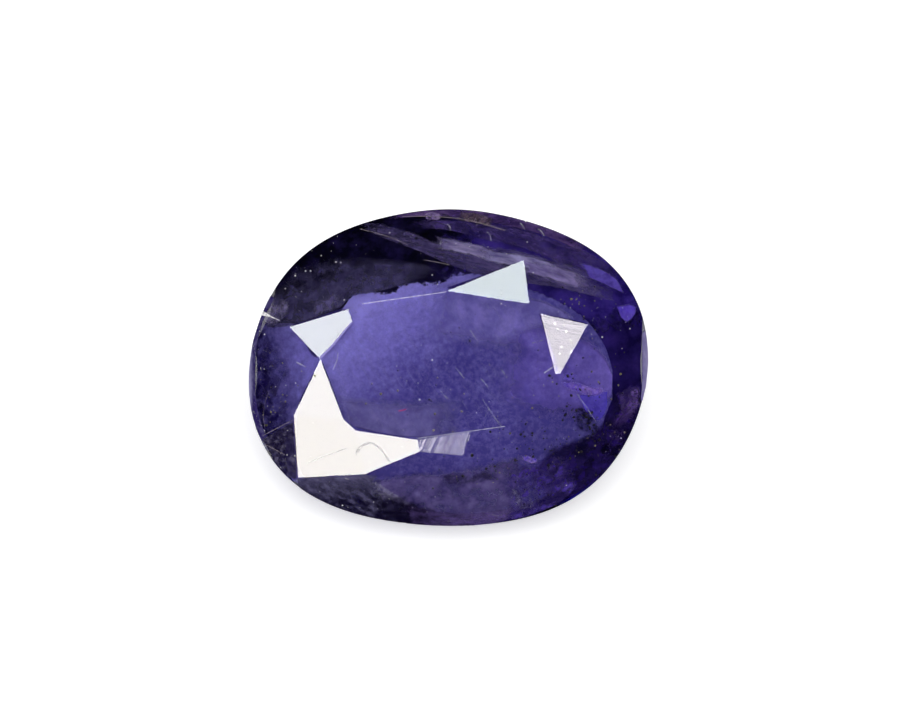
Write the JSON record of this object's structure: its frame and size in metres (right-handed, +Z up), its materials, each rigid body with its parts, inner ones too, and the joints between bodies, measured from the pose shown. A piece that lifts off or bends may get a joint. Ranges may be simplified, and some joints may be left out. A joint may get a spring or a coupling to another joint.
{
  "type": "faceted iolite gemstone",
  "caption": "Loose oval mixed-cut iolite, violet-blue and see-through, lying on one flat of its pavilion with the table facing forward and up.",
  "frame": {"origin": "middle of the bounding box's footprint, on the surface that the stone lies on", "axes": "+X along the stone's long axis, -Y to the front where the table leans, +Z up"},
  "size_m": [0.0126, 0.009, 0.0061],
  "materials": {
    "iolite": "polished"
  },
  "bodies": {
    "root": {"iolite_gem": "iolite"}
  },
  "joints": []
}
